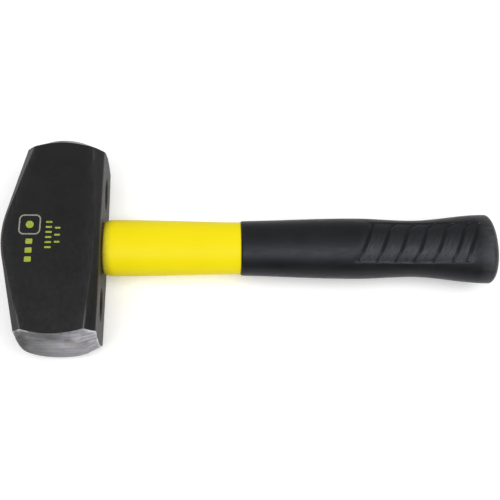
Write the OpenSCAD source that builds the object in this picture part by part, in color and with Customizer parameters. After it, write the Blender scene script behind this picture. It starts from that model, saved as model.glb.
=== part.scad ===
// Double-faced club hammer with a forged head, a fibreglass core in a moulded jacket,
// and a rubber grip. It lies on its lower cheek.
//
// Frame: the origin is at the middle of the lower cheek, under the centre of the eye.
// +X runs along the handle to the butt, +Y along the head to one face, +Z up.

/* [Head] */
// Length of the head from crown to crown
head_len = 126.2; // [110:0.1:140]
// Thickness of the head between its two flat cheeks
head_thick = 45; // [40:1:52]
// Reach of the head past the eye's centre on the handle side
under_reach = 23.7; // [21:0.1:27]
// Reach of the head past the eye's centre on the far side, at the faces
top_reach = 20.6; // [19:0.1:24]
// Reach of the head past the eye's centre on the far side, over the eye
top_peak = 32.4; // [29:0.1:34]
// Radius that rounds the peak over the eye
peak_r = 60; // [40:1:90]
// Width of the handle side's corner chamfers at the faces
chamfer_under = 6.7; // [4:0.1:8]
// Width of the handle side's corner chamfers beside the eye
chamfer_seat = 3.3; // [1:0.1:3.7]
// Width of the far side's corner chamfers at the faces
chamfer_top = 5.2; // [4:0.1:7]
// Width of the far side's corner chamfers at the ends of the arc over the eye
chamfer_peak = 1.9; // [1:0.1:3]

/* [Hollows on the handle side] */
// Distance from the eye's centre to the middle of each hollow
hollow_y = 35; // [32:1:40]
// Length of each hollow along the head
hollow_len = 22; // [14:1:24]
// Width of each hollow between the cheeks
hollow_w = 12; // [8:0.5:14]
// Depth of each hollow
hollow_depth = 2.2; // [0.5:0.1:3]

/* [Striking faces] */
// Radius of the crowned face inside its ground bevel
face_r = 18.4; // [16:0.1:20]
// Height of the crown
crown_h = 1; // [0.5:0.1:2]
// Angle between the ground bevel and the head's long axis, in degrees
bevel_angle = 58; // [50:1:65]

/* [Eye] */
// Width of the eye along the head, at its narrowest
eye_w = 28; // [26:0.5:30]
// Height of the eye between the cheeks, at its narrowest
eye_h = 20; // [18:0.5:22]
// How much the eye opens on each side towards the top of the head
eye_flare = 1.2; // [0.5:0.1:2]
// Depth of the resin's surface below the peak of the head
resin_recess = 1.6; // [1:0.1:3]

/* [Core] */
// Width of the fibreglass core, along the head
core_w = 24; // [20:0.5:25]
// Thickness of the fibreglass core, between the cheeks
core_h = 16; // [14:0.5:17]
// Distance from the eye's centre to the core's end in the butt
core_end = 238; // [200:1:241]

/* [Jacket] */
// Half width of the jacket just past its shoulder
jacket_a = 17.25; // [16:0.05:19]
// Half width of the jacket where the grip begins
jacket_neck_a = 16; // [15.5:0.05:17]
// Thickness of the bare jacket over its width
jacket_oval = 0.76; // [0.7:0.01:0.82]
// Length over which the jacket's shoulder rounds off against the head
shoulder_len = 7; // [5:0.5:14]
// How far the shoulder draws in where it meets the washer
shoulder_inset = 1.9; // [1.2:0.1:3]
// Thickness of the washer under the shoulder
seal_t = 0.4; // [0.3:0.1:2]
// Width of the part of the jacket that the grip covers
tenon_w = 28; // [27:0.5:29]
// Thickness of the part of the jacket that the grip covers
tenon_h = 19.5; // [19:0.5:20.5]
// Distance from the eye's centre to the jacket's end in the butt
jacket_end = 245; // [242:1:250]

/* [Grip] */
// Distance from the eye's centre to the grip's front lip
grip_start = 105.1; // [90:0.1:115]
// Distance from the eye's centre to the tip of the butt
butt_tip = 262; // [258:0.5:270]
// Half width of the grip at its front lip
lip_a = 16.7; // [16.2:0.05:18]
// Half width at the swelling under the fingers
swell_a = 18.8; // [18:0.1:20.5]
// Half width at the waist before the butt
waist_a = 17.6; // [17:0.1:18.7]
// Half width of the flared butt
flare_a = 21.8; // [20:0.1:23]
// Height of the domed end of the butt
dome_h = 6; // [4:0.5:8]
// Thickness of the grip over its width, along the fingers
grip_oval = 0.76; // [0.7:0.01:0.82]
// Thickness of the flared butt over its width
butt_oval = 0.66; // [0.6:0.01:0.8]

/* [Hidden] */

mid_z = head_thick / 2;
face_y = head_len / 2 - crown_h;

// The crown is a slice of a sphere that meets the bevel at face_r.
crown_sphere_r = (face_r * face_r + crown_h * crown_h) / (2 * crown_h);
bevel_slope = tan(bevel_angle);
bicone_apex = face_y + face_r / bevel_slope;
bicone_r = bicone_apex * bevel_slope;

// The far side is two straight slopes that run tangent into one arc over the eye, so
// each slope is the tangent from a face's corner to that arc's circle.
peak_arm = peak_r + top_reach - top_peak;
top_slope = atan2(face_y, peak_arm) - acos(peak_r / norm([face_y, peak_arm]));
peak_half = peak_r * sin(top_slope);
peak_edge = peak_r * cos(top_slope) + top_peak - peak_r;

// The handle side's chamfers start this far from the eye's centre.
chamfer_start = 12;

// Ends of the chamfers, as [reach from the eye's centre, distance along the head, width]
under_eye = [under_reach, chamfer_start, chamfer_seat];
under_face = [under_reach, face_y, chamfer_under];
top_eye = [top_peak, peak_half, chamfer_peak];
top_face = [top_reach, face_y, chamfer_top];

jacket_start = under_reach + seal_t;
resin_top = -(top_peak - resin_recess);

// A hollow is cut by a spindle, a turned arc whose axis floats outside the surface.
spindle_r = (pow(hollow_w / 2, 2) + pow(hollow_depth, 2)) / (2 * hollow_depth);
spindle_axis = spindle_r - hollow_depth;
spindle_arc_r = (pow(hollow_len / 2, 2) + pow(hollow_depth, 2)) / (2 * hollow_depth);

// The butt's sides end at a rim, and a shallow dome closes it.
rim_x = butt_tip - dome_h;

// Cutters reach this far past a face, and blocks are this large.
past = 1;
big = 400;

ring_sides = 48;
superness = 2.1;

// ---- helpers ----

// Half space on the side that the normal points to, as a large block
module beyond(point, normal) {
    length = norm(normal);
    translate(point)
        rotate([0, acos(normal.z / length), atan2(normal.y, normal.x)])
            translate([-big / 2, -big / 2, 0])
                cube([big, big, big]);
}

// Straight bar with round edges, w wide along Y and h thick, from x0 to x1
module oval_bar(w, h, x0, x1) {
    spread = (w - h) / 2;
    translate([x0, 0, mid_z])
        rotate([0, 90, 0])
            linear_extrude(x1 - x0)
                union() {
                    translate([0, spread])
                        circle(d = h, $fn = 96);
                    translate([0, -spread])
                        circle(d = h, $fn = 96);
                    translate([-h / 2, -spread])
                        square([h, 2 * spread]);
                }
}

// The same bar with its half thickness and half width both growing from r0 to r1
module flared_bar(spread, r0, r1, x0, x1) {
    length = x1 - x0;
    for (side = [-1, 1])
        translate([x0, side * spread, mid_z])
            rotate([0, 90, 0])
                cylinder(h = length, r1 = r0, r2 = r1, $fn = 96);
    translate([0, spread, mid_z])
        rotate([90, 0, 0])
            linear_extrude(2 * spread)
                polygon([[x0, -r0], [x1, -r1], [x1, r1], [x0, r0]]);
}

// One point on a rounded oval of half width a and half thickness c
function oval_point(x, a, c, angle) = [
    x,
    a * sign(cos(angle)) * pow(abs(cos(angle)), 2 / superness),
    mid_z + c * sign(sin(angle)) * pow(abs(sin(angle)), 2 / superness)
];

// Closed solid through a row of ovals, each given as [x, half width, half thickness]
module loft(rings) {
    count = len(rings);
    points = [
        for (ring = rings)
            for (i = [0:ring_sides - 1])
                oval_point(ring[0], ring[1], ring[2], i * 360 / ring_sides)
    ];
    walls = [
        for (k = [0:count - 2])
            for (i = [0:ring_sides - 1])
                let (
                    j = (i + 1) % ring_sides,
                    near = k * ring_sides,
                    far = near + ring_sides
                )
                    [near + i, far + i, far + j, near + j]
    ];
    front = [[for (i = [0:ring_sides - 1]) i]];
    back = [[for (i = [0:ring_sides - 1]) count * ring_sides - 1 - i]];
    polyhedron(points = points, faces = concat(front, walls, back));
}

// Smooth step from 0 to 1 as x goes from x0 to x1
function ease(x, x0, x1) =
    let (t = max(0, min(1, (x - x0) / (x1 - x0))))
        t * t * (3 - 2 * t);

// ---- head ----

module side_outline() {
    polygon([
        [under_reach, -head_len],
        [under_reach, head_len],
        [-top_reach, head_len],
        [-top_reach, face_y],
        [-peak_edge, peak_half],
        [-peak_edge, -peak_half],
        [-top_reach, -face_y],
        [-top_reach, -head_len]
    ]);
    intersection() {
        translate([peak_r - top_peak, 0])
            circle(r = peak_r, $fn = 360);
        translate([-top_peak - past, -peak_half])
            square([top_peak, 2 * peak_half]);
    }
}

// The ground bevels of both faces are one double cone about the head's long axis.
module bevel_cone() {
    rotate([90, 0, 0])
        rotate_extrude($fn = 180)
            polygon([[0, -bicone_apex], [bicone_r, 0], [0, bicone_apex]]);
}

module crown_sphere(end) {
    translate([0, end * (head_len / 2 - crown_sphere_r), 0])
        sphere(r = crown_sphere_r, $fn = 360);
}

// A corner chamfer: wide at the face, narrow beside the eye. It is the plane through the
// cheek edge, a line from beside the eye to the face, and one point of the side edge.
module chamfer(eye_end, face_end, x_side, y_side, z_side) {
    at_eye = [
        x_side * (eye_end.x - eye_end.z),
        y_side * eye_end.y,
        z_side * head_thick / 2
    ];
    at_face = [
        x_side * (face_end.x - face_end.z),
        y_side * face_end.y,
        z_side * head_thick / 2
    ];
    on_side = [
        x_side * face_end.x,
        y_side * face_end.y,
        z_side * (head_thick / 2 - face_end.z)
    ];
    across = cross(at_face - at_eye, on_side - at_face);
    beyond(at_eye, across * sign(across.z * z_side));
}

module head() {
    color([0.13, 0.13, 0.135])
        difference() {
            translate([0, 0, mid_z])
                difference() {
                    intersection() {
                        translate([0, 0, -head_thick / 2])
                            linear_extrude(head_thick)
                                side_outline();
                        bevel_cone();
                        crown_sphere(1);
                        crown_sphere(-1);
                    }
                    for (y_side = [-1, 1])
                        for (z_side = [-1, 1]) {
                            chamfer(under_eye, under_face, 1, y_side, z_side);
                            chamfer(top_eye, top_face, -1, y_side, z_side);
                        }
                }
            eye_space();
            for (side = [-1, 1])
                hollow_spindle(side * hollow_y);
        }
}

// The almond-shaped cutter of one hollow, y from the eye's centre
module hollow_spindle(y) {
    translate([under_reach + spindle_axis, y, mid_z])
        rotate([90, 0, 0])
            rotate_extrude($fn = 180)
                intersection() {
                    translate([spindle_r - spindle_arc_r, 0])
                        circle(r = spindle_arc_r, $fn = 180);
                    translate([0, -hollow_len])
                        square([2 * spindle_r, 2 * hollow_len]);
                }
}

// The eye: straight on the handle side, then flared towards the top of the head
module eye_space() {
    spread = (eye_w - eye_h) / 2;
    oval_bar(eye_w, eye_h, 0, under_reach + past);
    mirror([1, 0, 0])
        flared_bar(spread, eye_h / 2, eye_h / 2 + eye_flare, 0, top_peak + past);
}

// ---- handle ----

module fibreglass_core() {
    color([0.78, 0.8, 0.66])
        oval_bar(core_w, core_h, resin_top, core_end);
}

module epoxy_fill() {
    spread = (eye_w - eye_h) / 2;
    resin_r = eye_h / 2 + eye_flare * -resin_top / (top_peak + past);
    color([0.55, 0.45, 0.25])
        difference() {
            union() {
                oval_bar(eye_w, eye_h, 0, under_reach);
                mirror([1, 0, 0])
                    flared_bar(spread, eye_h / 2, resin_r, 0, -resin_top);
            }
            oval_bar(core_w, core_h, resin_top - past, under_reach + past);
        }
}

// The jacket's bare length, with its rounded shoulder, as rings for a loft. It narrows
// from taper_start and would stop narrowing at taper_end, under the grip.
shoulder_steps = 9;
bare_steps = 5;
body_start = jacket_start + shoulder_len;
taper_start = jacket_start + 4;
taper_end = grip_start + 8;
function jacket_half(x) = jacket_a + (jacket_neck_a - jacket_a) * ease(x, taper_start, taper_end);
jacket_rings = [
    for (i = [0:shoulder_steps])
        let (
            turn = 90 * i / shoulder_steps,
            x = jacket_start + shoulder_len * (1 - cos(turn)),
            inset = shoulder_inset * (1 - sin(turn))
        )
            [x, jacket_half(x) - inset, jacket_half(x) * jacket_oval - inset],
    for (i = [1:bare_steps])
        let (x = body_start + (grip_start - body_start) * i / bare_steps)
            [x, jacket_half(x), jacket_half(x) * jacket_oval]
];

module jacket() {
    color([0.97, 0.88, 0.1])
        difference() {
            union() {
                loft(jacket_rings);
                oval_bar(tenon_w, tenon_h, grip_start - past, jacket_end);
            }
            oval_bar(core_w, core_h, jacket_start - past, core_end);
        }
}

// The washer stands a little proud of the jacket's drawn-in end.
seal_proud = 0.2;
module eye_seal() {
    seal_w = 2 * (jacket_a - shoulder_inset + seal_proud);
    seal_h = 2 * (jacket_a * jacket_oval - shoulder_inset + seal_proud);
    color([0.07, 0.07, 0.07])
        difference() {
            oval_bar(seal_w, seal_h, under_reach, jacket_start);
            oval_bar(core_w, core_h, under_reach - past, jacket_start + past);
        }
}

// Half width of the grip from its lip to its rim: it swells, narrows and flares. The
// swelling has already begun where the lip is.
swell_begin = grip_start - 12;
swell_x = grip_start + 70;
waist_x = swell_x + 34;
function grip_half(x) =
    lip_a
    + (swell_a - lip_a) * ease(x, swell_begin, swell_x)
    + (waist_a - swell_a) * ease(x, swell_x, waist_x)
    + (flare_a - waist_a) * ease(x, waist_x, rim_x);
function grip_thick(x) =
    grip_half(x) * (grip_oval + (butt_oval - grip_oval) * ease(x, waist_x, rim_x));

// The lip rolls in over lip_r, by lip_inset. The dome turns in by the power dome_power.
lip_r = 1.6;
lip_inset = 1;
lip_steps = 3;
body_steps = 20;
dome_steps = 9;
last_turn = 85;
dome_power = 0.8;
grip_rings = [
    for (i = [0:lip_steps - 1])
        let (
            turn = 90 * i / lip_steps,
            inset = lip_inset * (1 - sin(turn)),
            x = grip_start + lip_r * (1 - cos(turn))
        )
            [x, grip_half(x) - inset, grip_thick(x) - inset],
    for (i = [0:body_steps])
        let (x = grip_start + lip_r + (rim_x - grip_start - lip_r) * i / body_steps)
            [x, grip_half(x), grip_thick(x)],
    for (i = [1:dome_steps])
        let (
            turn = last_turn * i / dome_steps,
            x = rim_x + dome_h * sin(turn) / sin(last_turn),
            shrink = pow(cos(turn), dome_power)
        )
            [x, flare_a * shrink, flare_a * butt_oval * shrink]
];

module grip() {
    color([0.1, 0.1, 0.105])
        difference() {
            loft(grip_rings);
            oval_bar(tenon_w, tenon_h, grip_start - past, jacket_end);
        }
}

head();
fibreglass_core();
jacket();
grip();
epoxy_fill();
eye_seal();
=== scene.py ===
"""The looks of a club hammer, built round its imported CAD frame.

Shapes are worked out in millimetres, with w as the height above the hammer's middle plane,
and become metres when a mesh is made.
"""

import math

import bpy
import numpy as np
from mathutils import Matrix, Vector, noise


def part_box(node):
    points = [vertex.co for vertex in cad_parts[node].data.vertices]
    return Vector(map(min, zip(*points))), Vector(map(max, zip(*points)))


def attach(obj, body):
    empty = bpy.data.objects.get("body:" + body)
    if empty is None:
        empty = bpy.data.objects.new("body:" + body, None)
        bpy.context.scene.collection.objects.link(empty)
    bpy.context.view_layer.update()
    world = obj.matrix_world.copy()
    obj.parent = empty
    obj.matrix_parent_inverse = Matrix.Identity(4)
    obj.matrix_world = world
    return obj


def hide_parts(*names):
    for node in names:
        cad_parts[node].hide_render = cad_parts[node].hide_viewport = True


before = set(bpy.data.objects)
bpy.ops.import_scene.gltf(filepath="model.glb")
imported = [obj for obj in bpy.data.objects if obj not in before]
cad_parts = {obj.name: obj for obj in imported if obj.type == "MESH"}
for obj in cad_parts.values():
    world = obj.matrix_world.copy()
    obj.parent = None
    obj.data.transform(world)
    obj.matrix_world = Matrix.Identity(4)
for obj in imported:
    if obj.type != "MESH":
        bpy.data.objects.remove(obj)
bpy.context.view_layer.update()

MM = 0.001


def box_mm(node):
    """Lowest and highest corner of a CAD node, in millimetres."""
    low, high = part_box(node)
    return np.array(low) / MM, np.array(high) / MM


HEAD_LOW, HEAD_HIGH = box_mm("head")
CORE_LOW, CORE_HIGH = box_mm("fibreglass_core")
JACKET_LOW, JACKET_HIGH = box_mm("jacket")
GRIP_LOW, GRIP_HIGH = box_mm("grip")
SEAL_LOW, SEAL_HIGH = box_mm("eye_seal")
MID_Z = (HEAD_LOW[2] + HEAD_HIGH[2]) / 2

# Head: half its thickness, and its reach to the handle side and to the far side
CHEEK = (HEAD_HIGH[2] - HEAD_LOW[2]) / 2
UNDER_REACH = HEAD_HIGH[0]
TOP_PEAK = -HEAD_LOW[0]
TOP_REACH = 20.6
PEAK_R = 60.0

# Striking faces: crown, ground bevel, the reach of the breaks at the bevel's two edges, and
# how far past its line the grinding ran over the middle of a flat
CROWN_H = 1.0
FACE_R = 18.4
FACE_Y = HEAD_HIGH[1] - CROWN_H
CROWN_R = (FACE_R**2 + CROWN_H**2) / (2 * CROWN_H)
BEVEL_ANGLE = math.radians(58)
CREASE = 0.5
CROWN_BREAK = 0.9
GROUND_PAST = 0.7

# The far side's straight slopes run tangent into the arc over the eye.
PEAK_ARM = PEAK_R + TOP_REACH - TOP_PEAK
TOP_SLOPE = math.atan2(FACE_Y, PEAK_ARM) - math.acos(PEAK_R / math.hypot(FACE_Y, PEAK_ARM))
PEAK_HALF = PEAK_R * math.sin(TOP_SLOPE)

# Corner chamfers, each as (where it starts, its width there, its width at the face)
UNDER_CHAMFER = (12.0, 3.3, 6.7)
TOP_CHAMFER = (PEAK_HALF, 1.9, 5.2)
CHAMFER_BLEND = 4.0

# The section's eight edges each turn by an eighth of a circle; their radii, in order
EDGE_TURN = math.pi / 4
EDGE_R = (2.2, 1.2, 1.4, 1.8, 1.8, 1.4, 1.2, 2.2)

# Hollows on the handle side
HOLLOW_Y = 35.0
HOLLOW_LEN = 22.0
HOLLOW_W = 12.0
HOLLOW_DEPTH = 2.2
HOLLOW_LIP = 0.5

# Eye: half sizes, flare towards the top, the rounding of its two mouths, and half the size
# of the window left open for it in the head's skin
EYE_A = 14.0
EYE_C = 10.0
EYE_FLARE = 1.2
FLARE_RUN = TOP_PEAK + 1
EYE_LIP = 0.8
WINDOW_Y = 19.5
WINDOW_W = 15.5

# Head's skin: how deep and how large its unevenness is, and the ground faces' share of it
SKIN_DEPTH = 0.12
SKIN_SIZE = 9
GROUND_SHARE = 0.3

# Wear and painted highlight on the head: half widths of the line and the band along each edge,
# where along the head the line comes up from its faint middle, and its strength towards the far
# face. The line is partly worn paint, partly a painted highlight on the rounded edges.
GLINT_WEAR_LINE = 0.45
WEAR_BAND = 3.5
GLINT_WEAR_FROM = 38
GLINT_WEAR_FULL = 54
GLINT_WEAR_FAINT = 0.06
GLINT_WEAR_FAR = 0.3

# Half sizes of the core and of the jacket's covered length
CORE_A = CORE_HIGH[1]
CORE_C = CORE_HIGH[2] - MID_Z
TENON_A = 14.0
TENON_C = 9.75

# Grip: where it starts and ends, and its half widths along the way
GRIP_START = GRIP_LOW[0]
BUTT_TIP = GRIP_HIGH[0]
DOME_H = 6.0
RIM_X = BUTT_TIP - DOME_H
SWELL_X = GRIP_START + 70
WAIST_X = SWELL_X + 34
LIP_A = 16.7
SWELL_A = 18.8
WAIST_A = 17.6
FLARE_A = GRIP_HIGH[1]
SWELL_FROM = GRIP_START - 12

# Grip: thickness over width, its rolled lip, its dome and how square its ovals are
GRIP_OVAL = 0.76
BUTT_OVAL = 0.66
LIP_R = 1.6
LIP_INSET = 1.0
DOME_POWER = 0.8
SUPERNESS = 2.1

# Jacket: half width at the head and under the grip, and its rounded shoulder
JACKET_A = 17.25
JACKET_NECK_A = 16.0
JACKET_OVAL = 0.76
NECK_FROM = JACKET_LOW[0] + 4
NECK_TO = GRIP_START + 8
SHOULDER_LEN = 7.0
SHOULDER_INSET = 1.9
SEAM_RISE = 0.05

# Grooves on the grip's cheeks: the first one's place, the pitch, the last gap's share
GROOVES = 7
GROOVE_FIRST = 180.3
GROOVE_PITCH = 11.38
LAST_GAP = 0.69
GROOVE_DEPTH = 0.9
GROOVE_WIDTH = 0.65

# Each groove slants, hooks at its ends (less at the -Y end), and fades towards its -Y end
GROOVE_SLANT = 0.41
HOOK_START = 7.0
HOOK_SPAN = 5.0
HOOK_REACH = 3.0
NEAR_HOOK = 0.4
GROOVE_FADE = 0.7
FADE_FROM = 3
FADE_TO = 9

# The panel round the grooves is sunk, and the pads between them are raked
PANEL_IN = 12.3
PANEL_OUT = 13.3
PANEL_SINK = 0.3
PANEL_RUN = 5
PAD_RISE = 0.35
PAD_EDGE = 1.2

# Fineness of the meshes: flats as (steps, hold), rows along the head, points in a ring
WIDE_FLAT = (56, 0.007)
NARROW_FLAT = (7, 0.08)
CORNER_STEPS = 4
BODY_ROWS = 169
BREAK_STEPS = (0.25, 0.5, 0.75)
RING = 160
GRIP_RING = 240

# Material slots of the head
PAINTED, GROUND = 0, 1


# ---- meshes ----


def mesh_object(name, points, faces, slots=None):
    """A smooth-shaded object from points in millimetres, (x, y, w), and faces of indices."""
    placed = np.array(points, float) + np.array([0.0, 0.0, MID_Z])
    mesh = bpy.data.meshes.new(name)
    mesh.from_pydata((placed * MM).tolist(), [], faces)
    mesh.polygons.foreach_set("use_smooth", [True] * len(faces))
    if slots is not None:
        mesh.polygons.foreach_set("material_index", slots)
    mesh.update()
    made = bpy.data.objects.new(name, mesh)
    bpy.context.scene.collection.objects.link(made)
    return made


def add_piece(piece, nodes, materials):
    """Put a finished piece on the root body, in place of its CAD nodes."""
    for material in materials:
        piece.data.materials.append(material)
    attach(piece, "root")
    if nodes:
        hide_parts(*nodes)
    return piece


def paint_points(piece, name, values):
    """Store one number per point, for the piece's material to read."""
    layer = piece.data.attributes.new(name, "FLOAT", "POINT")
    layer.data.foreach_set("value", np.asarray(values, np.float32))


def roughen(piece, amount, size, share):
    """Press the surface in by up to amount mm of smooth noise, with features of size mm."""
    mesh = piece.data
    count = len(mesh.vertices)
    points = np.zeros(count * 3)
    normals = np.zeros(count * 3)
    mesh.vertices.foreach_get("co", points)
    mesh.vertices.foreach_get("normal", normals)
    points = points.reshape(-1, 3)
    normals = normals.reshape(-1, 3)
    coarse = [noise.noise(Vector(p / (size * MM))) for p in points]
    fine = [noise.noise(Vector(p / (size * MM / 3))) for p in points]
    depth = 0.5 + 0.4 * np.array(coarse) + 0.15 * np.array(fine)
    depth = np.clip(depth, 0, 1) * share * amount * MM
    mesh.vertices.foreach_set("co", (points - normals * depth[:, None]).ravel())
    mesh.update()


def ease(x, x0, x1):
    """Smooth step from 0 to 1 as x goes from x0 to x1."""
    t = np.clip((x - x0) / (x1 - x0), 0, 1)
    return t * t * (3 - 2 * t)


def soft_min(a, b, reach):
    """The lower of a and b, rounded where they meet."""
    h = np.clip(0.5 + 0.5 * (b - a) / reach, 0, 1)
    return b + (a - b) * h - reach * h * (1 - h)


def round_corner(first, corner, last, turn, s):
    """Point at s, from 0 to 1, on the circular arc that rounds a corner of the given turn."""
    pull = math.cos(turn / 2)
    near, mid, far = (1 - s) ** 2, 2 * s * (1 - s) * pull, s * s
    return (near * first + mid * corner + far * last) / (near + mid + far)


# ---- head ----


def under_side(y):
    """Reach of the handle side, which is flat."""
    return np.full_like(np.asarray(y, float), UNDER_REACH)


def top_side(y):
    """Reach of the far side at y along the head: an arc, then a straight slope."""
    away = np.abs(y)
    arc = np.sqrt(PEAK_R**2 - np.minimum(away, PEAK_HALF) ** 2) + TOP_PEAK - PEAK_R
    return arc - np.maximum(away - PEAK_HALF, 0) * math.tan(TOP_SLOPE)


def chamfer_width(y, start, at_start, at_face):
    """Width of a corner chamfer, growing from beside the eye to the face."""
    beyond = np.abs(y) - start
    growth = (np.sqrt(beyond**2 + CHAMFER_BLEND**2) + beyond) / 2
    return at_start + (at_face - at_start) * growth / (FACE_Y - start)


def section_corners(y):
    """The eight corners (x, w) of the head's section at y, from the handle side round the top."""
    under, top = under_side(y), top_side(y)
    cut_under = chamfer_width(y, *UNDER_CHAMFER)
    cut_top = chamfer_width(y, *TOP_CHAMFER)
    cheek = np.full_like(under, CHEEK)
    upper = [
        (under, cheek - cut_under),
        (under - cut_under, cheek),
        (cut_top - top, cheek),
        (-top, cheek - cut_top),
    ]
    lower = [(x, -w) for x, w in reversed(upper)]
    return [np.array(corner) for corner in upper + lower]


def hollow_side(y, w):
    """Handle side with its two almond hollows, each a spindle pressed into the flat."""
    spindle_r = ((HOLLOW_W / 2) ** 2 + HOLLOW_DEPTH**2) / (2 * HOLLOW_DEPTH)
    arc_r = ((HOLLOW_LEN / 2) ** 2 + HOLLOW_DEPTH**2) / (2 * HOLLOW_DEPTH)
    axis_x = UNDER_REACH + spindle_r - HOLLOW_DEPTH
    away = np.abs(np.abs(y) - HOLLOW_Y)
    turn_r = spindle_r - arc_r + np.sqrt(np.maximum(arc_r**2 - away**2, 0))
    inside = np.maximum(turn_r, 0) ** 2 - w**2
    spindle = axis_x - np.sqrt(np.maximum(inside, 0))
    return soft_min(under_side(y), spindle, HOLLOW_LIP)


def unit(v):
    """A plane vector scaled to length 1."""
    return v / np.hypot(v[0], v[1])


def section_point(station, y):
    """Where one station of the section lies at y: on a flat, or on a rounded corner."""
    kind, k, s = station
    corners = section_corners(np.asarray(y, float))
    before, here, after = corners[k - 1], corners[k], corners[(k + 1) % 8]
    trim = EDGE_R[k] * math.tan(EDGE_TURN / 2)
    along = unit(here - before)
    end = here - trim * along
    if kind == "flat":
        start = before + EDGE_R[k - 1] * math.tan(EDGE_TURN / 2) * along
        x, w = start + s * (end - start)
        if k == 0:
            x = hollow_side(y, w)
        return np.array([x, w])
    return round_corner(end, here, here + trim * unit(after - here), EDGE_TURN, s)


def flat_steps(count, hold):
    """Even steps over a flat, with one close to each end to hold the flat's shading."""
    return [0.0, *np.linspace(hold, 1 - hold, count - 1), 1.0]


def section_stations():
    """Every station round the section, as (kind, number of its flat or corner, s from 0 to 1).

    Flat 0 is the handle side and flat 4 the far side; 2 and 6 are the cheeks.
    """
    stations = []
    for k in range(8):
        count, hold = WIDE_FLAT if k in (0, 2, 4, 6) else NARROW_FLAT
        stations += [("flat", k, s) for s in flat_steps(count, hold)]
        stations += [("corner", k, i / CORNER_STEPS) for i in range(1, CORNER_STEPS)]
    return stations


def bevel_start(station):
    """Distance along the head at which a station runs into the ground bevel.

    The grinding ran a little further over the middle of each cheek and of the far side.
    """
    y, rounds = FACE_Y, 14
    for _ in range(rounds):
        x, w = section_point(station, y)
        y = FACE_Y - (np.hypot(x, w) - FACE_R) / math.tan(BEVEL_ANGLE)
    kind, k, s = station
    further = GROUND_PAST * 4 * s * (1 - s) if kind == "flat" and k in (2, 4, 6) else 0.0
    return float(y) - further


def face_end(station, start_y):
    """The bevel and crown of one station, as (radius, y) from the side to near the pole."""
    bevel_rows, crown_rows, pole_r = 10, 15, 0.7
    x, w = section_point(station, start_y)
    side_r = float(np.hypot(x, w))
    x_in, w_in = section_point(station, start_y - CREASE)
    sine, cosine = math.sin(BEVEL_ANGLE), math.cos(BEVEL_ANGLE)
    side = np.array([float(np.hypot(x_in, w_in)), start_y - CREASE])
    crease = np.array([side_r, start_y])
    bevel = np.array([side_r - CREASE * sine, start_y + CREASE * cosine])
    outer = np.array([FACE_R + CROWN_BREAK * sine, FACE_Y - CROWN_BREAK * cosine])
    rim = np.array([FACE_R, FACE_Y])
    inner_r = FACE_R - CROWN_BREAK
    inner = np.array([inner_r, crown_y(inner_r)])
    rim_turn = math.pi / 2 - BEVEL_ANGLE
    path = [round_corner(side, crease, bevel, BEVEL_ANGLE, s) for s in BREAK_STEPS]
    path += [bevel + (outer - bevel) * s for s in np.linspace(0, 1, bevel_rows)]
    path += [round_corner(outer, rim, inner, rim_turn, s) for s in BREAK_STEPS]
    path += [np.array([r, crown_y(r)]) for r in np.linspace(inner_r, pole_r, crown_rows)]
    return path


def crown_y(r):
    """How far out the crowned face reaches at r from its middle."""
    return math.sqrt(CROWN_R**2 - r**2) + FACE_Y + CROWN_H - CROWN_R


def station_line(station):
    """All points of one station, from one face to the other, and how many each face takes."""
    start_y = bevel_start(station)
    body_y = np.linspace(-1, 1, BODY_ROWS) * (start_y - CREASE)
    x, w = section_point(station, body_y)
    body = np.stack([x, body_y, w], axis=1)
    end = face_end(station, start_y)
    x_end, w_end = section_point(station, start_y)
    direction = np.array([x_end, w_end]) / np.hypot(x_end, w_end)
    ahead = np.array([[r * direction[0], y, r * direction[1]] for r, y in end])
    behind = ahead[::-1] * np.array([1, -1, 1])
    return np.concatenate([behind, body, ahead]), len(end)


def oval_radius(angle, a, c):
    """Distance from the centre to a round-ended bar, half width a and half thickness c."""
    spread = a - c
    across, up = np.abs(np.cos(angle)), np.abs(np.sin(angle))
    flat = c / np.maximum(up, 1e-9)
    cap = spread * across + np.sqrt(np.maximum(c**2 - (spread * up) ** 2, 0))
    return np.where(flat * across <= spread, flat, cap)


def flare_at(x):
    """How far the eye has flared out at x."""
    return EYE_FLARE * max(0.0, -x) / FLARE_RUN


def mouth_rings(loop, angle, side, sign, flare):
    """Rings from the edge of the window to the eye: over the head's side, then round the lip."""
    apron_steps, lip_steps = 5, 4
    rings = []
    edge = oval_radius(angle, EYE_A + flare + EYE_LIP, EYE_C + flare + EYE_LIP)
    for i in range(1, apron_steps + 1):
        s = i / apron_steps
        y = loop[:, 1] * (1 - s) + s * edge * np.cos(angle)
        w = loop[:, 2] * (1 - s) + s * edge * np.sin(angle)
        rings.append(np.stack([sign * side(y), y, w], axis=1))
    for i in range(1, lip_steps + 1):
        tilt = i / lip_steps * math.pi / 2
        grow = flare + EYE_LIP * (1 - math.sin(tilt))
        radius = oval_radius(angle, EYE_A + grow, EYE_C + grow)
        y, w = radius * np.cos(angle), radius * np.sin(angle)
        x = sign * (side(y) - EYE_LIP * (1 - math.cos(tilt)))
        rings.append(np.stack([x, y, w], axis=1))
    return rings


def tunnel_rings(near, far):
    """Rings of points for the eye, from its window on the handle side to its window on top."""
    bore_steps = 12
    near_angle = np.arctan2(near[:, 2], near[:, 1])
    far_angle = np.arctan2(far[:, 2], far[:, 1])
    turn = np.angle(np.exp(1j * (far_angle - near_angle)))
    rings = mouth_rings(near, near_angle, under_side, 1, 0)
    far_rings = mouth_rings(far, far_angle, top_side, -1, flare_at(-TOP_PEAK))
    start, end = rings[-1][:, 0], far_rings[-1][:, 0]
    for i in range(1, bore_steps):
        s = i / bore_steps
        angle = near_angle + turn * s
        x = start * (1 - s) + end * s
        grow = np.array([flare_at(v) for v in x])
        radius = oval_radius(angle, EYE_A + grow, EYE_C + grow)
        rings.append(np.stack([x, radius * np.cos(angle), radius * np.sin(angle)], axis=1))
    return rings + far_rings[::-1]


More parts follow.
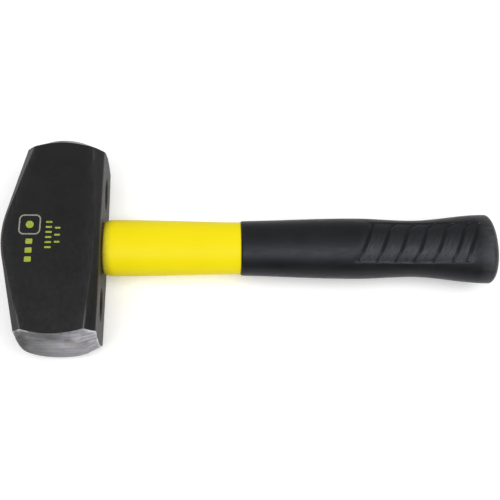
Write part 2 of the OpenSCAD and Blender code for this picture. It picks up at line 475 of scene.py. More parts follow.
def grid_index(grid, i, j):
    """Number of the point on station i, counted round and round, and row j."""
    across, along = grid.shape[:2]
    return (i % across) * along + j


def eye_window(stations, grid, end):
    """The range of stations, and of rows, that the handle side leaves open for the eye.

    The far side leaves the same rows open, and station mirror - i in place of station i.
    """
    along = grid.shape[1]
    mirror = stations.index(("flat", 4, 1.0))
    side_w = grid[: WIDE_FLAT[0] + 1, along // 2, 2]
    inside = np.nonzero(np.abs(side_w) <= WINDOW_W)[0]
    first_i, last_i = int(inside[0]), int(inside[-1])
    side_y = grid[first_i, end : along - end, 1]
    rows = np.nonzero(np.abs(side_y) <= WINDOW_Y)[0] + end
    return (first_i, last_i), (int(rows[0]), int(rows[-1])), mirror


def skin_faces(grid, end, window):
    """Quads over the grid, but not over the eye's two windows, and the slot of each.

    The paint ends at the middle row of each bevel's crease.
    """
    (first_i, last_i), (first_j, last_j), mirror = window
    across, along = grid.shape[:2]
    open_i = {*range(first_i, last_i), *range(mirror - last_i, mirror - first_i)}
    faces, slots = [], []
    for i in range(across):
        for j in range(along - 1):
            if i in open_i and first_j <= j < last_j:
                continue
            ring = ((i, j), (i, j + 1), (i + 1, j + 1), (i + 1, j))
            faces.append(tuple(grid_index(grid, *spot) for spot in ring))
            slots.append(PAINTED if end - 2 <= j <= along - end else GROUND)
    return faces, slots


def add_poles(grid, points, faces, slots):
    """Close the middle of each striking face with a fan of triangles to a pole."""
    across, along = grid.shape[:2]
    for j, sign in ((0, -1), (along - 1, 1)):
        pole = len(points)
        points.append([0.0, sign * (FACE_Y + CROWN_H), 0.0])
        for i in range(across):
            side = (grid_index(grid, i, j), grid_index(grid, i + 1, j))
            faces.append((pole, *side[:: -sign]))
            slots.append(GROUND)


def add_eye(grid, window, points, faces, slots):
    """Join the eye's two windows by a tunnel through the head."""
    (first_i, last_i), (first_j, last_j), mirror = window
    loop = [(first_i, j) for j in range(first_j, last_j)]
    loop += [(i, last_j) for i in range(first_i, last_i)]
    loop += [(last_i, j) for j in range(last_j, first_j, -1)]
    loop += [(i, first_j) for i in range(last_i, first_i, -1)]
    near_ids = [grid_index(grid, i, j) for i, j in loop]
    far_ids = [grid_index(grid, mirror - i, j) for i, j in loop]
    ring_ids = [near_ids]
    for ring in tunnel_rings(np.array(points)[near_ids], np.array(points)[far_ids]):
        first = len(points)
        points += ring.tolist()
        ring_ids.append(list(range(first, first + len(ring))))
    ring_ids.append(far_ids)
    for ring, onward in zip(ring_ids, ring_ids[1:]):
        for p in range(len(ring)):
            q = (p + 1) % len(ring)
            faces.append((ring[p], ring[q], onward[q], onward[p]))
            slots.append(PAINTED)


def wear_highlight_shade_maps(stations, grid, end):
    """Maps over the grid: a thin line on each edge (worn paint and a painted highlight), a band beside it,
    the sides, the hollows (painted shade).
    """
    along = grid.shape[1]
    section = grid[:, along * 3 // 4]
    on_edge = section[[kind == "corner" and s == 0.5 for kind, _, s in stations]]
    gap = np.array([np.min(np.linalg.norm(on_edge - p, axis=1)) for p in section])
    y = grid[0, :, 1]
    strength = GLINT_WEAR_FAINT + (1 - GLINT_WEAR_FAINT) * ease(-y, GLINT_WEAR_FROM, GLINT_WEAR_FULL)
    strength += GLINT_WEAR_FAR * ease(y, GLINT_WEAR_FROM, GLINT_WEAR_FULL)
    strength[:end] = strength[-end:] = 0
    line = np.exp(-((gap / GLINT_WEAR_LINE) ** 2))[:, None] * strength[None, :]
    # Another line runs round each bevel, on the steel side of its crease; the ground steel paints it as a
    # highlight.
    rows = np.arange(along)
    crease_row, crease_rows = end - 3, 1.2
    from_crease = np.minimum(np.abs(rows - crease_row), np.abs(along - 1 - crease_row - rows))
    line = np.maximum(line, np.exp(-((from_crease / crease_rows) ** 2))[None, :])
    band = np.exp(-((gap / WEAR_BAND) ** 2))[:, None] * np.ones(along)[None, :]
    sides = np.array([kind == "flat" and k in (0, 4) for kind, k, _ in stations], float)
    sides = sides[:, None] * np.ones(along)[None, :]
    handle_side = np.array([kind == "flat" and k == 0 for kind, k, _ in stations], float)
    hollow = np.clip((UNDER_REACH - grid[:, :, 0]) / HOLLOW_DEPTH, 0, 1) * handle_side[:, None]
    return line, band, sides, hollow


def paint_head(head, stations, grid, end):
    """Store the wear, painted highlight and painted shade maps on the head's points. The eye's points, past
    the grid, are sides.
    """
    skin = grid.shape[0] * grid.shape[1]
    for name, wear_and_light_map in zip(("edge", "rim", "side", "hollow"), wear_highlight_shade_maps(stations, grid, end)):
        values = np.full(len(head.data.vertices), float(name == "side"))
        values[:skin] = wear_and_light_map.ravel()
        paint_points(head, name, values)


def roughen_head(head, grid, end):
    """Make the forged skin uneven, and the ground faces and their poles much less so."""
    skin = np.ones(grid.shape[:2])
    skin[:, :end] = skin[:, -end:] = GROUND_SHARE
    share = np.ones(len(head.data.vertices))
    share[: skin.size] = skin.ravel()
    share[skin.size : skin.size + 2] = GROUND_SHARE
    roughen(head, SKIN_DEPTH, SKIN_SIZE, share)


def build_head(materials):
    """The forged head: a grid of stations round it and rows along it, pierced by the eye."""
    stations = section_stations()
    lines = [station_line(station) for station in stations]
    end = lines[0][1]
    grid = np.array([line for line, _ in lines])
    window = eye_window(stations, grid, end)
    points = grid.reshape(-1, 3).tolist()
    faces, slots = skin_faces(grid, end, window)
    add_poles(grid, points, faces, slots)
    add_eye(grid, window, points, faces, slots)
    head = mesh_object("forged_head", points, faces, slots)
    paint_head(head, stations, grid, end)
    roughen_head(head, grid, end)
    return add_piece(head, ["head"], materials)


# ---- handle ----


def super_radius(angle, a, c):
    """Distance from the centre to a rounded oval, half width a and half thickness c."""
    across, up = np.abs(np.cos(angle)), np.abs(np.sin(angle))
    return ((across / a) ** SUPERNESS + (up / c) ** SUPERNESS) ** (-1 / SUPERNESS)


def round_angles(count):
    """Even angles round a ring."""
    return np.arange(count) * 2 * math.pi / count


def ring_at(x, a, c, shape=oval_radius, count=RING):
    """One ring of points round the handle's axis."""
    angle = round_angles(count)
    radius = shape(angle, a, c)
    across, up = radius * np.cos(angle), radius * np.sin(angle)
    return np.stack([np.full(count, float(x)), across, up], axis=1)


def loft(rings, closed=False):
    """Faces between successive rings, and from the last back to the first if it is closed."""
    count = len(rings[0])
    points = np.concatenate(rings)
    faces = []
    pairs = len(rings) if closed else len(rings) - 1
    for k in range(pairs):
        near, far = k * count, (k + 1) % len(rings) * count
        for i in range(count):
            j = (i + 1) % count
            faces.append((near + i, near + j, far + j, far + i))
    return points, faces


def close_end(points, faces, first, count, tip, outward):
    """Close a ring of points with a fan to a tip."""
    points = np.concatenate([points, [tip]])
    last = len(points) - 1
    for i in range(count):
        j = (i + 1) % count
        faces.append((first + i, first + j, last) if outward else (first + j, first + i, last))
    return points, faces


def jacket_ring(x, inset=0.0):
    """One ring of the bare jacket, which narrows towards the grip."""
    half = JACKET_A + (JACKET_NECK_A - JACKET_A) * ease(x, NECK_FROM, NECK_TO)
    return ring_at(x, half - inset, half * JACKET_OVAL - inset, super_radius)


def raise_seam(points, rings):
    """A faint parting line along the middle of both narrow sides, over the first rings."""
    for k in range(rings):
        for i in (0, RING // 2):
            points[k * RING + i, 1] *= 1 + SEAM_RISE / JACKET_A


def build_jacket(material):
    """The sleeve: shoulder, bare length, the length under the grip, and back up the bore."""
    shoulder_steps, bare_steps, covered_steps, bore_steps = 14, 60, 12, 14
    start, end = JACKET_LOW[0], JACKET_HIGH[0]
    rings = []
    for i in range(shoulder_steps + 1):
        turn = math.pi / 2 * i / shoulder_steps
        x = start + SHOULDER_LEN * (1 - math.cos(turn))
        rings.append(jacket_ring(x, SHOULDER_INSET * (1 - math.sin(turn))))
    rings += [jacket_ring(x) for x in np.linspace(start + SHOULDER_LEN, GRIP_START, bare_steps)[1:]]
    outer = len(rings)
    rings += [ring_at(x, TENON_A, TENON_C) for x in np.linspace(GRIP_START, end, covered_steps)]
    rings += [ring_at(x, CORE_A, CORE_C) for x in np.linspace(end, start, bore_steps)]
    points, faces = loft(rings, closed=True)
    raise_seam(points, outer)
    jacket = mesh_object("yellow_jacket", points, faces)
    return add_piece(jacket, ["jacket"], [material])


def grip_half(x):
    """Half width of the grip: from its lip to the swelling, the waist and the flare."""
    return (
        LIP_A
        + (SWELL_A - LIP_A) * ease(x, SWELL_FROM, SWELL_X)
        + (WAIST_A - SWELL_A) * ease(x, SWELL_X, WAIST_X)
        + (FLARE_A - WAIST_A) * ease(x, WAIST_X, RIM_X)
    )


def grip_thick(x):
    """Half thickness of the grip, which flattens towards the butt."""
    return grip_half(x) * (GRIP_OVAL + (BUTT_OVAL - GRIP_OVAL) * ease(x, WAIST_X, RIM_X))


def groove_place(n):
    """Where groove n crosses the middle of its cheek; the last gap is a narrow one."""
    return GROOVE_FIRST + GROOVE_PITCH * (n if n < GROOVES - 1 else n - 1 + LAST_GAP)


def groove_relief(x, y):
    """Depth pressed into a grip cheek at (x, y), and how much of it is a pad."""
    past = np.where(y > 0, 1.0, NEAR_HOOK) * np.maximum(np.abs(y) - HOOK_START, 0) / HOOK_SPAN
    nearest = np.full_like(y, np.inf)
    for n in range(GROOVES):
        hook = HOOK_REACH * math.sin(math.pi * n / (GROOVES - 1))
        line = groove_place(n) + GROOVE_SLANT * y + np.sign(y) * hook * past**2
        slope = GROOVE_SLANT + 2 * hook * past / HOOK_SPAN
        nearest = np.minimum(nearest, np.abs(x - line) / np.hypot(1, slope))
    inside = 1 - ease(np.abs(y), PANEL_IN, PANEL_OUT)
    fading = 1 - GROOVE_FADE * ease(-y, FADE_FROM, FADE_TO)
    groove = GROOVE_DEPTH * np.exp(-((nearest / GROOVE_WIDTH) ** 2)) * inside * fading
    along = x - GROOVE_SLANT * y
    last = groove_place(GROOVES - 1)
    panel = ease(along, GROOVE_FIRST - PANEL_RUN, GROOVE_FIRST)
    panel = panel * (1 - ease(along, last, last + PANEL_RUN)) * inside
    part = (along - GROOVE_FIRST) / GROOVE_PITCH
    rake = (part - np.floor(part)) * PAD_RISE
    pad = panel * (1 - np.exp(-((nearest / PAD_EDGE) ** 2)))
    return groove + panel * (PANEL_SINK + rake), pad


def grip_stations():
    """Where the grip's outer rings lie, each as (x, half width, half thickness)."""
    lip_steps, plain_steps, grooved_steps, dome_steps = 6, 52, 236, 26
    plain_end = GROOVE_FIRST - 11
    rings = []
    for i in range(lip_steps):
        turn = math.pi / 2 * i / lip_steps
        inset = LIP_INSET * (1 - math.sin(turn))
        x = GRIP_START + LIP_R * (1 - math.cos(turn))
        rings.append((x, grip_half(x) - inset, grip_thick(x) - inset))
    plain = np.linspace(GRIP_START + LIP_R, plain_end, plain_steps)[:-1]
    grooved = np.linspace(plain_end, RIM_X, grooved_steps)
    rings += [(x, grip_half(x), grip_thick(x)) for x in (*plain, *grooved)]
    for i in range(1, dome_steps + 1):
        turn = math.pi / 2 * i / (dome_steps + 1)
        shrink = math.cos(turn) ** DOME_POWER
        rings.append((RIM_X + DOME_H * math.sin(turn), FLARE_A * shrink, FLARE_A * BUTT_OVAL * shrink))
    return rings


def grooved_ring(x, a, c):
    """One outer ring of the grip, with its relief pressed in, and its points' share of pad."""
    ring = ring_at(x, a, c, super_radius, GRIP_RING)
    y, w = ring[:, 1].copy(), ring[:, 2].copy()
    outward = np.stack([np.abs(y / a) ** (SUPERNESS - 1) * np.sign(y) / a,
                        np.abs(w / c) ** (SUPERNESS - 1) * np.sign(w) / c], axis=1)
    outward /= np.linalg.norm(outward, axis=1)[:, None]
    # The relief comes in as the ring turns from its narrow sides to its cheeks.
    facing = ease(np.abs(np.sin(round_angles(GRIP_RING))), 0.2, 0.45)
    depth, pad = groove_relief(x, y * np.sign(w))
    ring[:, 1] -= outward[:, 0] * depth * facing
    ring[:, 2] -= outward[:, 1] * depth * facing
    return ring, pad * facing


def add_socket(points, faces):
    """The socket for the jacket's covered length, out through the lip at the first ring."""
    count, socket_steps = GRIP_RING, 12
    end = JACKET_HIGH[0]
    socket_x = np.linspace(end, GRIP_START, socket_steps)
    socket, walls = loft([ring_at(x, TENON_A, TENON_C, count=count) for x in socket_x])
    shift = len(points)
    points = np.concatenate([points, socket])
    faces += [tuple(n + shift for n in wall) for wall in walls]
    last = shift + (socket_steps - 1) * count
    for i in range(count):
        j = (i + 1) % count
        faces.append((last + i, last + j, j, i))
    return close_end(points, faces, shift, count, [end, 0.0, 0.0], False)


def build_grip(material):
    """The rubber grip: its grooved outside, its domed butt and the socket within."""
    rings, pads = zip(*(grooved_ring(*station) for station in grip_stations()))
    last = (len(rings) - 1) * GRIP_RING
    points, faces = loft(rings)
    points, faces = close_end(points, faces, last, GRIP_RING, [BUTT_TIP, 0.0, 0.0], True)
    points, faces = add_socket(points, faces)
    grip = mesh_object("rubber_grip", points, faces)
    values = np.zeros(len(points))
    values[: last + GRIP_RING] = np.concatenate(pads)
    paint_points(grip, "pad", values)
    return add_piece(grip, ["grip"], [material])


# ---- eye ----


def build_seal(material):
    """The washer under the jacket's shoulder, with a rounded outer edge."""
    steps = 8
    a, c = SEAL_HIGH[1], SEAL_HIGH[2] - MID_Z
    round_r = (SEAL_HIGH[0] - SEAL_LOW[0]) / 2
    rings = []
    for i in range(steps + 1):
        turn = math.pi * i / steps
        inset = round_r * (1 - math.sin(turn))
        x = SEAL_LOW[0] + round_r * (1 - math.cos(turn))
        rings.append(ring_at(x, a - inset, c - inset))
    rings += [ring_at(x, CORE_A, CORE_C) for x in (SEAL_HIGH[0], SEAL_LOW[0])]
    points, faces = loft(rings, closed=True)
    seal = mesh_object("eye_washer", points, faces)
    return add_piece(seal, ["eye_seal"], [material])


def build_resin(material):
    """The poured resin round the core, with a meniscus that climbs both walls."""
    wall_steps, top_steps = 14, 16
    top, foot = CORE_LOW[0], UNDER_REACH
    climb, roundness = 0.7, 2.5
    rings = [ring_at(foot, CORE_A, CORE_C)]
    for x in np.linspace(foot, top, wall_steps):
        rings.append(ring_at(x, EYE_A + flare_at(x), EYE_C + flare_at(x)))
    wall_a, wall_c = EYE_A + flare_at(top), EYE_C + flare_at(top)
    for i in range(1, top_steps + 1):
        s = i / top_steps
        sag = climb * (1 - abs(2 * s - 1) ** roundness)
        a = wall_a + (CORE_A - wall_a) * s
        c = wall_c + (CORE_C - wall_c) * s
        rings.append(ring_at(top + sag, a, c))
    points, faces = loft(rings[::-1], closed=True)
    resin = mesh_object("poured_resin", points, faces)
    return add_piece(resin, ["epoxy_fill"], [material])


def build_core(material):
    """The fibreglass bar, its sawn end just below the mouth of the eye."""
    start, end = CORE_LOW[0], CORE_HIGH[0]
    end_steps, side_steps, smallest, sawn_rim = 6, 24, 0.12, 0.3
    shares = np.linspace(smallest, 1, end_steps)
    rings = [ring_at(start, CORE_A * s, CORE_C * s) for s in shares]
    rings += [ring_at(x, CORE_A, CORE_C) for x in np.linspace(start + sawn_rim, end, side_steps)]
    rings += [ring_at(end, CORE_A * s, CORE_C * s) for s in shares[-2::-1]]
    points, faces = loft(rings)
    last = (len(rings) - 1) * RING
    points, faces = close_end(points, faces, 0, RING, [start, 0.0, 0.0], False)
    points, faces = close_end(points, faces, last, RING, [end, 0.0, 0.0], True)
    core = mesh_object("glass_core", points, faces)
    return add_piece(core, ["fibreglass_core"], [material])


# ---- print ----


def round_outline(centre, length, width, corner):
    """A rectangle with round corners on the cheek, length along the head, as (x, y) points."""
    outline = []
    steps = 6
    for quarter in range(4):
        x_side = 1 if quarter in (0, 3) else -1
        y_side = 1 if quarter in (0, 1) else -1
        for i in range(steps + 1):
            turn = math.pi / 2 * (quarter + i / steps)
            x = centre[0] + x_side * (width / 2 - corner) + corner * math.cos(turn)
            y = centre[1] + y_side * (length / 2 - corner) + corner * math.sin(turn)
            outline.append((x, y))
    return outline


def ink_film(outline, hole=None):
    """A closed film of ink through the cheek, inside an outline or from it to a hole."""
    sunk, proud = CHEEK - 0.2, CHEEK + 0.01
    count = len(outline)
    points = [[x, y, sunk] for x, y in outline] + [[x, y, proud] for x, y in outline]
    if hole is None:
        faces = [tuple(range(count - 1, -1, -1)), tuple(range(count, 2 * count))]
        loops = [(0, count)]
    else:
        points += [[x, y, proud] for x, y in hole] + [[x, y, sunk] for x, y in hole]
        faces = []
        loops = [(0, count), (count, 2 * count), (2 * count, 3 * count), (3 * count, 0)]
    for near, far in loops:
        for i in range(count):
            j = (i + 1) % count
            faces.append((near + i, near + j, far + j, far + i))
    return points, faces


def mark_row(count, first, pitch, length, width, corner):
    """A row of equal marks that runs along the head from its first one."""
    centres = [(first[0], first[1] - pitch * k) for k in range(count)]
    return [(ink_film(round_outline(centre, length, width, corner)), 0) for centre in centres]


def build_print(green, grey):
    """Plain marks printed on the upper cheek: a frame with a dot, blocks and rows of ticks."""
    frame_at = (-16.1, 5.6)
    outer = round_outline(frame_at, 12.4, 12.4, 3.0)
    inner = round_outline(frame_at, 10.8, 10.8, 2.2)
    films = [(ink_film(outer, inner), 1)]
    films += mark_row(1, frame_at, 0, 4.4, 4.4, 2.1)
    films += mark_row(3, (-15.8, -4.7), 5.4, 3.2, 3.8, 0.6)
    films += mark_row(6, (-5.2, 7.2), 3.1, 1.1, 3.6, 0.4)
    films += mark_row(3, (-0.3, 3.6), 4.3, 1.1, 3.2, 0.4)
    points, faces, slots = [], [], []
    for (more, walls), slot in films:
        shift = len(points)
        points += more
        faces += [tuple(n + shift for n in wall) for wall in walls]
        slots += [slot] * len(walls)
    mark = mesh_object("cheek_print", points, faces, slots)
    mark.data.polygons.foreach_set("use_smooth", [False] * len(faces))
    return add_piece(mark, [], [green, grey])


# ---- materials ----

# Sockets of the Mix node that carry colours
COLOUR_A, COLOUR_B, COLOUR_RESULT = 6, 7, 2


def start_material(name, metallic=0.0, specular=0.5, shine=(1.0, 1.0, 1.0)):
    """A new material, its node tree, and the piece's own coordinates in metres."""
    material = bpy.data.materials.new(name)
    material.use_nodes = True
    tree = material.node_tree
    shader = tree.nodes["Principled BSDF"]
    shader.inputs["Metallic"].default_value = metallic
    shader.inputs["Specular IOR Level"].default_value = specular
    shader.inputs["Specular Tint"].default_value = (*shine, 1.0)
    return material, tree, tree.nodes.new("ShaderNodeTexCoord").outputs["Object"]


def wire(tree, value, socket):
    """Link a node's output, or set a plain number or colour."""
    if isinstance(value, bpy.types.NodeSocket):
        tree.links.new(value, socket)
    elif isinstance(value, tuple) and len(value) == 3 and socket.type == "RGBA":
        socket.default_value = (*value, 1.0)
    else:
        socket.default_value = value


def dress(tree, tint, roughness, normal):
    """Give a material its colour, roughness and bumped normal."""
    shader = tree.nodes["Principled BSDF"]
    wire(tree, tint, shader.inputs["Base Color"])
    wire(tree, roughness, shader.inputs["Roughness"])
    wire(tree, normal, shader.inputs["Normal"])


def new_node(tree, kind, inputs):
    """A new shader node, its named inputs linked or set."""
    node = tree.nodes.new("ShaderNode" + kind)
    for name, value in inputs.items():
        wire(tree, value, node.inputs[name])
    return node


def stretch(tree, coords, scale, offset=(0.0, 0.0, 0.0)):
    """Coordinates scaled and moved, so that a noise runs long where its scale is small."""
    inputs = {"Vector": coords, "Scale": scale, "Location": offset}
    return new_node(tree, "Mapping", inputs).outputs["Vector"]


def turned(tree, coords, angle):
    """Coordinates turned about Z."""
    inputs = {"Vector": coords, "Rotation": (0.0, 0.0, angle)}
    return new_node(tree, "Mapping", inputs).outputs["Vector"]


def axes(tree, coords):
    """The X, Y and Z of coordinates, apart."""
    node = new_node(tree, "SeparateXYZ", {"Vector": coords})
    return node.outputs["X"], node.outputs["Y"], node.outputs["Z"]


def cloud(tree, coords, size_mm, detail=3.0, rough=0.55):
    """Noise from 0 to 1 with features of the given size."""
    scale = 1 / (size_mm * MM)
    inputs = {"Vector": coords, "Scale": scale, "Detail": detail, "Roughness": rough}
    return new_node(tree, "TexNoise", inputs).outputs["Fac"]


def cells(tree, coords, size_mm):
    """Distance from the middle of the nearest cell, in cells of the given size."""
    inputs = {"Vector": coords, "Scale": 1 / (size_mm * MM)}
    return new_node(tree, "TexVoronoi", inputs).outputs["Distance"]


def remap(tree, value, low, high, to_low=0.0, to_high=1.0):
    """A value moved from one range to another, and held within it."""
    inputs = {"Value": value, "From Min": low, "From Max": high, "To Min": to_low, "To Max": to_high}
    return new_node(tree, "MapRange", inputs).outputs["Result"]


def spread(tree, value, to_low=0.0, to_high=1.0):
    """The usual span of a noise, stretched to a range."""
    return remap(tree, value, 0.3, 0.7, to_low, to_high)


def maths(tree, operation, a, b=0.0):
    """One sum on two values."""
    node = tree.nodes.new("ShaderNodeMath")
    node.operation = operation
    wire(tree, a, node.inputs[0])
    wire(tree, b, node.inputs[1])
    return node.outputs["Value"]


def blend(tree, factor, a, b):
    """A colour that goes from a to b as the factor goes from 0 to 1."""
    node = tree.nodes.new("ShaderNodeMix")
    node.data_type = "RGBA"
    wire(tree, factor, node.inputs["Factor"])
    wire(tree, a, node.inputs[COLOUR_A])
    wire(tree, b, node.inputs[COLOUR_B])
    return node.outputs[COLOUR_RESULT]


def attribute(tree, name):
    """A number that is stored on the piece's points."""
    node = tree.nodes.new("ShaderNodeAttribute")
    node.attribute_name = name
    return node.outputs["Fac"]


def bump(tree, height, depth_mm, normal=None):
    """A normal tilted by a height map, on top of another bump if there is one."""
    inputs = {"Height": height, "Distance": depth_mm * MM}
    if normal is not None:
        inputs["Normal"] = normal
    return new_node(tree, "Bump", inputs).outputs["Normal"]


def black_paint():
    """Black lacquer over forged steel, paler along the edges from worn paint and a painted highlight, and
    darkened in the hollows by painted shade.
    """
    material, tree, coords = start_material("black_lacquer", specular=0.33)
    broad = cloud(tree, coords, 24)
    pits = cloud(tree, coords, 2.2, 4)
    peel = cloud(tree, coords, 0.7, 2)
    rub_and_glint = cloud(tree, stretch(tree, coords, (1, 0.3, 1)), 1.6, 4)
    scuffs = cloud(tree, stretch(tree, coords, (1, 0.12, 1)), 1.1, 4)
    tint = blend(tree, spread(tree, broad), (0.0055, 0.0055, 0.0060), (0.0095, 0.0095, 0.0100))
    dusty = maths(tree, "MULTIPLY", attribute(tree, "rim"), remap(tree, scuffs, 0.35, 0.75, 0.1, 0.8))
    tint = blend(tree, dusty, tint, (0.024, 0.024, 0.025))
    # The edge lines are partly worn paint, partly a painted highlight on the rounded edges.
    wear_and_light_map = maths(tree, "MULTIPLY", attribute(tree, "edge"), remap(tree, rub_and_glint, 0.25, 0.65, 0.45, 1.0))
    tint = blend(tree, wear_and_light_map, tint, (0.13, 0.13, 0.134))
    # Painted shade: the hollows on the handle side are darkened almost to black.
    tint = blend(tree, remap(tree, attribute(tree, "hollow"), 0.05, 0.5), tint, (0.002, 0.002, 0.002))
    gloss = remap(tree, pits, 0.3, 0.75, 0.27, 0.4)
    matt = maths(tree, "MULTIPLY", attribute(tree, "side"), 0.2)
    matt = maths(tree, "ADD", matt, maths(tree, "MULTIPLY", attribute(tree, "hollow"), 0.55))
    normal = bump(tree, pits, 0.02)
    normal = bump(tree, peel, 0.006, normal)
    normal = bump(tree, maths(tree, "MULTIPLY", attribute(tree, "side"), scuffs), 0.22, normal)
    dress(tree, tint, maths(tree, "ADD", gloss, matt), normal)
    return material


def sweep(tree, coords):
    """Coordinates bent round a centre 30 mm under the hammer, long along the arcs."""
    across, length, up = axes(tree, coords)
    height = maths(tree, "ADD", up, 30 * MM)
    angle = maths(tree, "ARCTAN2", height, across)
    squares = [maths(tree, "POWER", leg, 2.0) for leg in (height, across)]
    radius = maths(tree, "SQRT", maths(tree, "ADD", *squares))
    inputs = {"X": maths(tree, "MULTIPLY", angle, 6 * MM), "Y": radius, "Z": length}
    return new_node(tree, "CombineXYZ", inputs).outputs["Vector"]


def ground_steel():
    """Bare steel with the fine arcs of a grinding wheel that swept across the face. Its colour holds a
    painted reflection, dark towards -X and pale lavender towards +X with pinkish patches, and a painted
    highlight along each crease.
    """
    material, tree, coords = start_material("ground_steel", 1.0, shine=(0.55, 0.55, 0.56))
    arcs = sweep(tree, coords)
    lines = cloud(tree, arcs, 0.35, 3)
    strokes = cloud(tree, stretch(tree, arcs, (0.5, 1.0, 0.4)), 1.3, 4)
    patches = cloud(tree, coords, 8, 3)
    pink_reflection = cloud(tree, stretch(tree, coords, (1, 1, 1), (0.02, 0.01, 0.0)), 7, 2)
    side = axes(tree, coords)[0]
    # Painted reflection: the steel is darker towards -X and pale lavender towards +X, broken up by patches.
    painted_reflection_ramp = remap(tree, maths(tree, "ADD", side, maths(tree, "MULTIPLY", patches, 12 * MM)), -12 * MM, 12 * MM)
    tint = blend(tree, painted_reflection_ramp, (0.11, 0.109, 0.108), (0.46, 0.46, 0.50))
    # Painted reflection: pinkish patches.
    tint = blend(tree, remap(tree, pink_reflection, 0.48, 0.64, 0, 0.6), tint, (0.31, 0.27, 0.265))
    tint = blend(tree, remap(tree, strokes, 0.35, 0.65, 0, 0.5), tint, (0.10, 0.10, 0.10))
    # Painted highlight: a bright line in patches along each bevel's crease.
    rub_and_glint = maths(tree, "MULTIPLY", attribute(tree, "edge"), remap(tree, patches, 0.42, 0.6, 0.1, 1.5))
    tint = blend(tree, rub_and_glint, tint, (0.72, 0.72, 0.75))
    normal = bump(tree, strokes, 0.018, bump(tree, lines, 0.01))
    dress(tree, tint, spread(tree, strokes, 0.38, 0.52), normal)
    return material


def yellow_plastic():
    """Moulded yellow polymer, almost flat in colour, browner and darker where it meets the head: partly
    grime, partly painted shade.
    """
    material, tree, coords = start_material("yellow_polymer", specular=0.11)
    broad = cloud(tree, coords, 30, 2)
    flow = cloud(tree, stretch(tree, coords, (0.25, 1, 1)), 3, 3)
    grain = cloud(tree, coords, 0.35, 2)
    tint = blend(tree, spread(tree, broad), (0.875, 0.715, 0.004), (0.895, 0.75, 0.006))
    tint = blend(tree, remap(tree, flow, 0.5, 0.9, 0, 0.25), tint, (0.85, 0.69, 0.008))
    near_head = remap(tree, axes(tree, coords)[0], (JACKET_LOW[0] + 5) * MM, JACKET_LOW[0] * MM)
    # Grime and painted shade: brownish darkening over the last 5 mm before the head.
    grime_and_shade = maths(tree, "MULTIPLY", near_head, spread(tree, cloud(tree, coords, 2.5, 4), 0.3, 0.75))
    tint = blend(tree, grime_and_shade, tint, (0.42, 0.32, 0.07))
    normal = bump(tree, flow, 0.02, bump(tree, grain, 0.006))
    dress(tree, tint, spread(tree, flow, 0.4, 0.5), normal)
    return material


def black_rubber():
    """Moulded rubber with a fine grain, its grooved pads streaked and painted paler as a highlight, most
    towards -Y, and its butt end painted paler as a highlight.
    """
    material, tree, coords = start_material("grip_rubber", specular=0.26, shine=(0.85, 0.9, 1.0))
    broad = cloud(tree, coords, 18, 3)
    grain = cloud(tree, coords, 0.45, 3)
    scuff = cloud(tree, stretch(tree, coords, (0.35, 1, 1)), 2.4, 4)
    beside = turned(tree, coords, math.atan(GROOVE_SLANT))
    streak = cloud(tree, stretch(tree, beside, (1, 0.13, 1)), 0.9, 4)
    tint = blend(tree, spread(tree, broad), (0.0068, 0.0068, 0.0076), (0.0105, 0.0105, 0.0115))
    along, across, _ = axes(tree, coords)
    # Painted highlight: the pads are paler and bluish, most towards -Y.
    pads = maths(tree, "MULTIPLY", attribute(tree, "pad"), spread(tree, streak, 0.1, 1.0))
    pads = maths(tree, "MULTIPLY", pads, remap(tree, across, 6 * MM, -5 * MM, 0.1, 1.0))
    tint = blend(tree, pads, tint, (0.040, 0.040, 0.045))
    # Painted highlight: the end towards the butt is paler.
    butt_highlight = maths(tree, "MULTIPLY", remap(tree, along, (RIM_X - 8) * MM, RIM_X * MM), scuff)
    tint = blend(tree, butt_highlight, tint, (0.075, 0.075, 0.08))
    ridges = maths(tree, "MULTIPLY", attribute(tree, "pad"), streak)
    normal = bump(tree, ridges, 0.08, bump(tree, grain, 0.012))
    normal = bump(tree, scuff, 0.02, normal)
    dress(tree, tint, spread(tree, scuff, 0.38, 0.52), normal)
    return material


def seal_rubber():
    """Matt rubber, black with brownish smears of resin."""
    material, tree, coords = start_material("washer_rubber", specular=0.35)
    tint = blend(tree, cloud(tree, coords, 3, 3), (0.02, 0.016, 0.01), (0.16, 0.12, 0.04))
    roughness = spread(tree, cloud(tree, coords, 1.5), 0.5, 0.7)
    dress(tree, tint, roughness, bump(tree, cloud(tree, coords, 0.5), 0.02))
    return material


def amber_resin():
    """Cured epoxy: amber, glossy, with small bubbles."""
    material, tree, coords = start_material("cast_epoxy")
    depth = cloud(tree, coords, 5, 3)
    spots = remap(tree, cells(tree, coords, 1.3), 0.12, 0.22, 1.0, 0.0)
    tint = blend(tree, spread(tree, depth), (0.16, 0.075, 0.02), (0.34, 0.19, 0.06))
    tint = blend(tree, maths(tree, "MULTIPLY", spots, 0.5), tint, (0.55, 0.42, 0.22))
    roughness = spread(tree, depth, 0.12, 0.26)
    dress(tree, tint, roughness, bump(tree, spots, 0.03))
    return material


def fibreglass():
    """Pulled glass rod: long fibres down its sides, a mottle of cut fibre ends on its end."""
    material, tree, coords = start_material("pultruded_glass")
    drawn = stretch(tree, coords, (0.03, 1, 1))
    strands = cloud(tree, drawn, 0.5, 4)
    bundles = cells(tree, drawn, 0.9)
    tint = blend(tree, spread(tree, strands), (0.42, 0.43, 0.27), (0.66, 0.67, 0.48))
    tint = blend(tree, remap(tree, bundles, 0.2, 0.7, 0, 0.6), tint, (0.24, 0.22, 0.12))
    roughness = spread(tree, strands, 0.4, 0.62)
    dress(tree, tint, roughness, bump(tree, strands, 0.05))
    return material


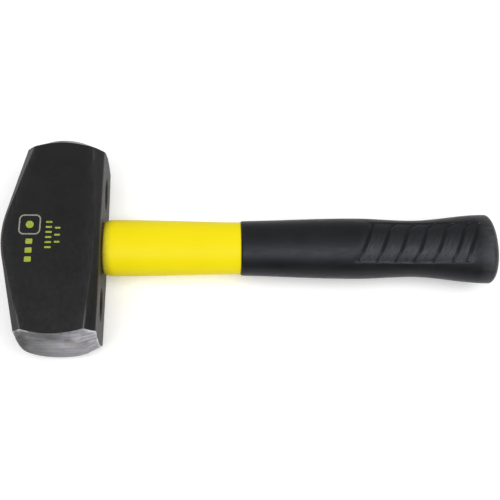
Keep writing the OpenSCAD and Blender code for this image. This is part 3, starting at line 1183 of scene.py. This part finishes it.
def cheek_ink(name, pale, bright):
    """Pad-printed ink between two tints, worn through here and there."""
    material, tree, coords = start_material(name, specular=0.3)
    worn = cloud(tree, coords, 0.6, 4)
    tint = blend(tree, cloud(tree, coords, 4), pale, bright)
    tint = blend(tree, remap(tree, worn, 0.52, 0.66, 0, 0.85), tint, (0.03, 0.032, 0.02))
    roughness = spread(tree, worn, 0.4, 0.6)
    dress(tree, tint, roughness, bump(tree, worn, 0.01))
    return material


def pale_floor():
    """A white table that glows, so that little shadow shows on it."""
    material, tree, coords = start_material("pale_floor", specular=0.1)
    tint = blend(tree, cloud(tree, coords, 300, 2), (0.87, 0.87, 0.87), (0.89, 0.89, 0.89))
    shader = tree.nodes["Principled BSDF"]
    wire(tree, tint, shader.inputs["Base Color"])
    shader.inputs["Roughness"].default_value = 0.8
    shader.inputs["Emission Color"].default_value = (1.0, 1.0, 1.0, 1.0)
    shader.inputs["Emission Strength"].default_value = 0.25
    return material


# ---- stage, light and camera ----


def build_floor():
    """A wide floor just under the hammer."""
    half, gap = 20000.0, 0.3
    level = -MID_Z - gap
    points = [[-half, -half, level], [half, -half, level], [half, half, level], [-half, half, level]]
    floor = mesh_object("floor", points, [(0, 1, 2, 3)])
    floor.data.materials.append(pale_floor())


def soft_light(name, place_m, watts, size_m, aim=(0.1, 0.0, 0.02)):
    """A rectangular soft light that faces the hammer."""
    data = bpy.data.lights.new(name, "AREA")
    data.energy = watts
    data.shape = "RECTANGLE"
    data.size, data.size_y = size_m
    light = bpy.data.objects.new(name, data)
    light.location = place_m
    light.rotation_mode = "QUATERNION"
    light.rotation_quaternion = (Vector(aim) - Vector(place_m)).to_track_quat("-Z", "Y")
    bpy.context.scene.collection.objects.link(light)


def build_lights():
    """One large soft box overhead, and a room that is brighter towards +Y."""
    world = bpy.data.worlds.new("studio")
    world.use_nodes = True
    tree = world.node_tree
    sideways = axes(tree, tree.nodes.new("ShaderNodeTexCoord").outputs["Generated"])[1]
    glow = remap(tree, sideways, -0.8, 0.6, 0.10, 0.5)
    background = tree.nodes["Background"]
    wire(tree, glow, background.inputs["Strength"])
    background.inputs["Color"].default_value = (1.0, 1.0, 1.0, 1.0)
    bpy.context.scene.world = world
    soft_light("overhead", (0.15, -0.30, 1.1), 13.0, (1.5, 0.66))


def build_camera():
    """The camera stands over the hammer, tipped towards the -Y face and a little to the head."""
    tip, lean, roll = math.radians(21.1), math.radians(3.6), math.radians(0.13)
    distance, look_x, look_drop = 480.0, 111.0, 1.0
    flat = math.cos(lean)
    back = Vector((-math.sin(lean), -flat * math.sin(tip), flat * math.cos(tip)))
    level_up = Vector((0.0, math.cos(tip), math.sin(tip)))
    level_right = level_up.cross(back)
    right = level_right * math.cos(roll) + level_up * math.sin(roll)
    up = level_up * math.cos(roll) - level_right * math.sin(roll)
    aim = Vector((look_x, 0.0, MID_Z)) - level_up * look_drop
    data = bpy.data.cameras.new("camera")
    data.sensor_width = 36.0
    data.lens = 57.2
    data.clip_start = 0.01
    data.clip_end = 20.0
    camera = bpy.data.objects.new("camera", data)
    facing = Matrix((right, up, back)).transposed().to_4x4()
    camera.matrix_world = Matrix.Translation((aim + back * distance) * MM) @ facing
    bpy.context.scene.collection.objects.link(camera)
    bpy.context.scene.camera = camera


build_camera()
build_lights()
build_floor()
build_head([black_paint(), ground_steel()])
build_print(
    cheek_ink("green_ink", (0.30, 0.36, 0.03), (0.42, 0.50, 0.06)),
    cheek_ink("grey_ink", (0.25, 0.26, 0.20), (0.34, 0.35, 0.28)),
)
build_jacket(yellow_plastic())
build_grip(black_rubber())
build_seal(seal_rubber())
build_resin(amber_resin())
build_core(fibreglass())
bpy.context.scene.view_settings.view_transform = "Standard"
